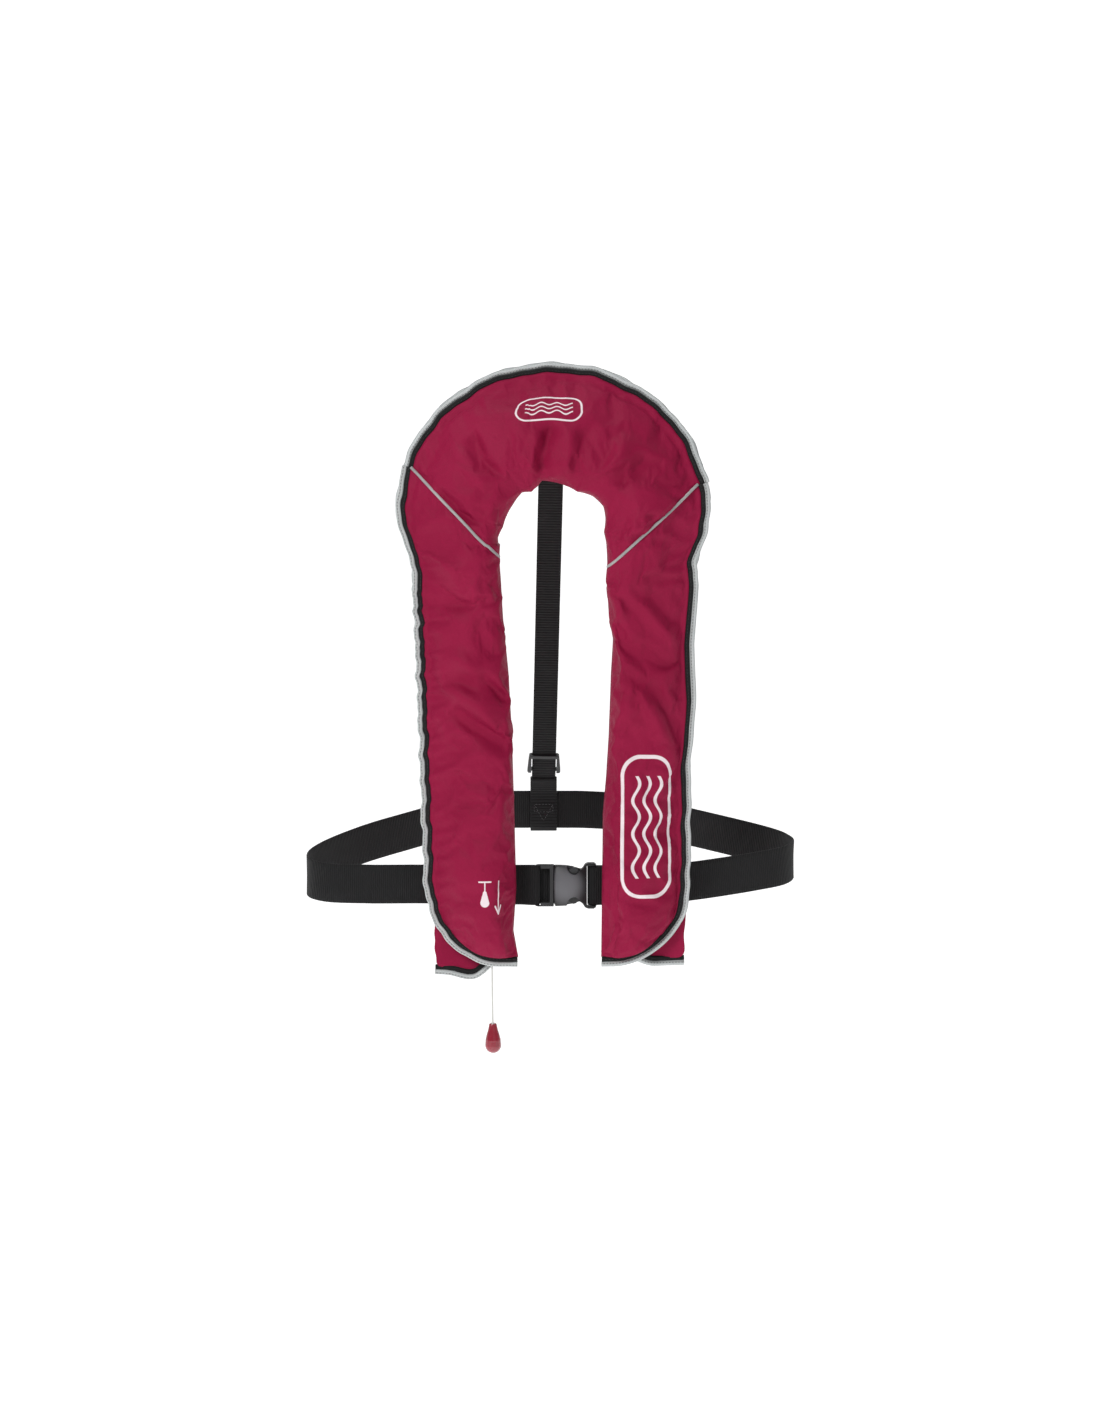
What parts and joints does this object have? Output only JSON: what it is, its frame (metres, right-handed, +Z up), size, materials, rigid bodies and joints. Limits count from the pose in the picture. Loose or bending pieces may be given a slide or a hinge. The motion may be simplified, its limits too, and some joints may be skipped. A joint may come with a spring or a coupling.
{
  "type": "inflatable life jacket",
  "caption": "Horseshoe inflatable life jacket with opening front flaps over a packed bladder, waist belt with side-release buckle, back strap and pull-cord inflator.",
  "frame": {"origin": "middle of the collar's inner edge, where it rests on the wearer's nape", "axes": "+Z up, front faces -Y, +X to the wearer's left"},
  "size_m": [0.4981, 0.2653, 0.6956],
  "materials": {
    "cover_fabric": "satin nylon",
    "reflective_trim": "reflective",
    "black_trim": "woven",
    "webbing": "ribbed woven",
    "buckle_plastic": "satin",
    "toggle_plastic": "gloss",
    "bladder_fabric": "coated nylon",
    "black_rubber": "matte",
    "steel": "satin",
    "cylinder_steel": "plated",
    "white_cord": "braided",
    "whistle_plastic": "gloss",
    "clip_plastic": "matte"
  },
  "bodies": {
    "jacket": {"collar_front": "cover_fabric", "collar_front_piping": "reflective_trim", "collar_front_binding": "black_trim", "collar_back": "cover_fabric", "collar_back_piping": "reflective_trim", "collar_back_binding": "black_trim", "right_back_panel": "cover_fabric", "right_back_panel_piping": "reflective_trim", "right_back_panel_binding": "black_trim", "right_loop_tape": "black_trim", "right_shoulder_piping": "reflective_trim", "right_belt_loop": "webbing", "left_back_panel": "cover_fabric", "left_back_panel_piping": "reflective_trim", "left_back_panel_binding": "black_trim", "left_loop_tape": "black_trim", "left_shoulder_piping": "reflective_trim", "left_belt_loop": "webbing", "bladder": "bladder_fabric", "inflator_body": "black_rubber", "lever_pin": "steel", "indicator_clip": "clip_plastic", "manifold_valve": "steel", "stem_nut": "steel", "oral_flange": "black_rubber", "oral_tube": "black_rubber", "oral_valve_body": "black_rubber", "whistle": "whistle_plastic", "whistle_lanyard": "white_cord", "waist_belt": "webbing", "buckle_female": "buckle_plastic", "back_strap": "webbing", "hanger_loop": "webbing"},
    "right_flap": {"right_front_flap": "cover_fabric", "right_front_flap_piping": "reflective_trim", "right_front_flap_binding": "black_trim", "right_hook_tape": "black_trim"},
    "left_flap": {"left_front_flap": "cover_fabric", "left_front_flap_piping": "reflective_trim", "left_front_flap_binding": "black_trim", "left_hook_tape": "black_trim"},
    "male_half": {"buckle_male": "buckle_plastic", "belt_wrap": "webbing"},
    "upper_prong": {"prong_upper": "buckle_plastic"},
    "lower_prong": {"prong_lower": "buckle_plastic"},
    "pull": {"pull_cord": "white_cord", "pull_toggle": "toggle_plastic"},
    "lever": {"inflator_lever": "toggle_plastic"},
    "firing_pin": {"piercing_pin": "steel"},
    "cylinder": {"co2_cylinder": "cylinder_steel"},
    "poppet": {"oral_valve_poppet": "toggle_plastic"},
    "cap": {"mouthpiece_cap": "black_rubber"},
    "slider": {"strap_slider": "buckle_plastic"}
  },
  "joints": [
    {"name": "right_flap_open", "type": "hinge", "parent": "jacket", "child": "right_flap", "pos_m": [-0.04, 0.00097, -0.487], "axis": [-0.0328, 0.0019, 0.9995], "range_deg": [0, 95]},
    {"name": "left_flap_open", "type": "hinge", "parent": "jacket", "child": "left_flap", "pos_m": [0.045, 0.00123, -0.487], "axis": [-0.0211, -0.0013, -0.9998], "range_deg": [0, 95]},
    {"name": "buckle_release", "type": "slide", "parent": "jacket", "child": "male_half", "axis": [-1, 0, 0], "range_m": [0, 0.028]},
    {"name": "upper_prong_flex", "type": "hinge", "parent": "male_half", "child": "upper_prong", "pos_m": [0.0014, 0.0222, -0.3955], "axis": [0, 1, 0], "range_deg": [0, 16]},
    {"name": "lower_prong_flex", "type": "hinge", "parent": "male_half", "child": "lower_prong", "pos_m": [0.0014, 0.0222, -0.4205], "axis": [0, -1, 0], "range_deg": [0, 16]},
    {"name": "toggle_pull", "type": "slide", "parent": "jacket", "child": "pull", "axis": [0.0096, 0.0591, -0.9982], "range_m": [0, 0.02]},
    {"name": "lever_swing", "type": "hinge", "parent": "jacket", "child": "lever", "pos_m": [-0.08, -0.00379, -0.375], "axis": [0, 1, 0], "range_deg": [0, 60.1]},
    {"name": "piercing_pin_travel", "type": "slide", "parent": "jacket", "child": "firing_pin", "axis": [0, 0, 1], "range_m": [0, 0.00301]},
    {"name": "cylinder_spin", "type": "hinge", "parent": "jacket", "child": "cylinder", "pos_m": [-0.08, -0.00379, -0.3], "axis": [0, 0, 1], "continuous": true},
    {"name": "valve_press", "type": "slide", "parent": "jacket", "child": "poppet", "axis": [0, 0, -1], "range_m": [0, 0.004], "stiffness_N_per_m": 150, "springref_m": -0.002},
    {"name": "cap_pull", "type": "slide", "parent": "jacket", "child": "cap", "axis": [0, 0, 1], "range_m": [0, 0.02]},
    {"name": "slider_travel", "type": "slide", "parent": "jacket", "child": "slider", "axis": [0.0201, -0.4852, 0.8742], "range_m": [-0.008, 0.15]}
  ],
  "couplings": [
    {"joint": "upper_prong_flex", "follows": "buckle_release", "rad_per_m": 9.6},
    {"joint": "lower_prong_flex", "follows": "buckle_release", "rad_per_m": 9.6},
    {"joint": "lever_swing", "follows": "toggle_pull", "rad_per_m": 52.36},
    {"joint": "piercing_pin_travel", "follows": "toggle_pull", "ratio": 0.15}
  ]
}
